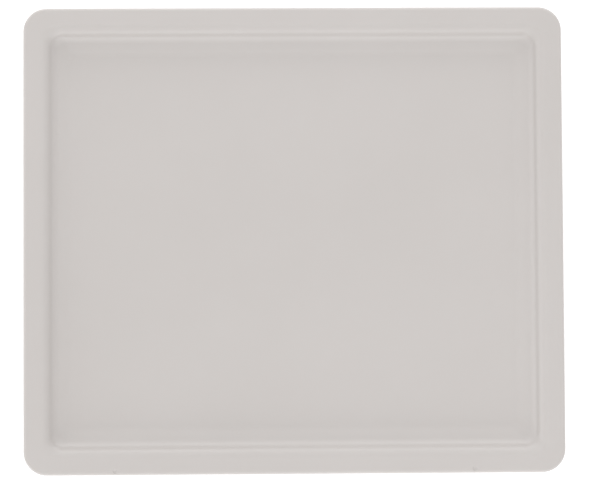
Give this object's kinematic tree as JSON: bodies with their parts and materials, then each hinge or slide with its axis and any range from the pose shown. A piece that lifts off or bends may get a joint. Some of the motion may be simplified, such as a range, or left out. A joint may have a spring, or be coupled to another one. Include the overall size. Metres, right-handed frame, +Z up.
{
  "type": "wet palette",
  "caption": "Closed rectangular wet palette: shallow plastic tray with sponge and palette paper under a lift-off lid with a sunken panel and seal.",
  "frame": {"origin": "centre of the closed box's resting face, at the middle of the foot ring's plane", "axes": "+X to the right along the long side, -Y the front, +Z up, the way that the lid lifts off"},
  "size_m": [0.22, 0.19, 0.03],
  "materials": {
    "lid_plastic": "milky off-white, satin",
    "tray_plastic": "milky white, satin",
    "seal_silicone": "soft translucent white silicone",
    "sponge": "open-cell cellulose sponge",
    "palette_paper": "smooth matt parchment"
  },
  "bodies": {
    "tray": {"base_tray": "tray_plastic"},
    "sponge": {"sponge_pad": "sponge"},
    "spare_pack": {"spare_sheet_01": "palette_paper", "spare_sheet_02": "palette_paper", "spare_sheet_03": "palette_paper", "spare_sheet_04": "palette_paper", "spare_sheet_05": "palette_paper", "spare_sheet_06": "palette_paper", "spare_sheet_07": "palette_paper", "spare_sheet_08": "palette_paper", "spare_sheet_09": "palette_paper", "spare_sheet_10": "palette_paper", "spare_sheet_11": "palette_paper", "spare_sheet_12": "palette_paper"},
    "top_sheet": {"palette_sheet": "palette_paper"},
    "lid": {"lid": "lid_plastic", "lid_seal": "seal_silicone"}
  },
  "joints": [
    {"name": "lid_lift", "type": "slide", "parent": "tray", "child": "lid", "axis": [0, 0, 1], "range_m": [0, 0.12]},
    {"name": "top_sheet_lift", "type": "slide", "parent": "tray", "child": "top_sheet", "axis": [0, 0, 1], "range_m": [0, 0.078]},
    {"name": "spare_pack_lift", "type": "slide", "parent": "tray", "child": "spare_pack", "axis": [0, 0, 1], "range_m": [0, 0.054]},
    {"name": "sponge_lift", "type": "slide", "parent": "tray", "child": "sponge", "axis": [0, 0, 1], "range_m": [0, 0.03]}
  ],
  "couplings": [
    {"joint": "top_sheet_lift", "follows": "lid_lift", "ratio": 0.65},
    {"joint": "spare_pack_lift", "follows": "lid_lift", "ratio": 0.45},
    {"joint": "sponge_lift", "follows": "lid_lift", "ratio": 0.25}
  ]
}
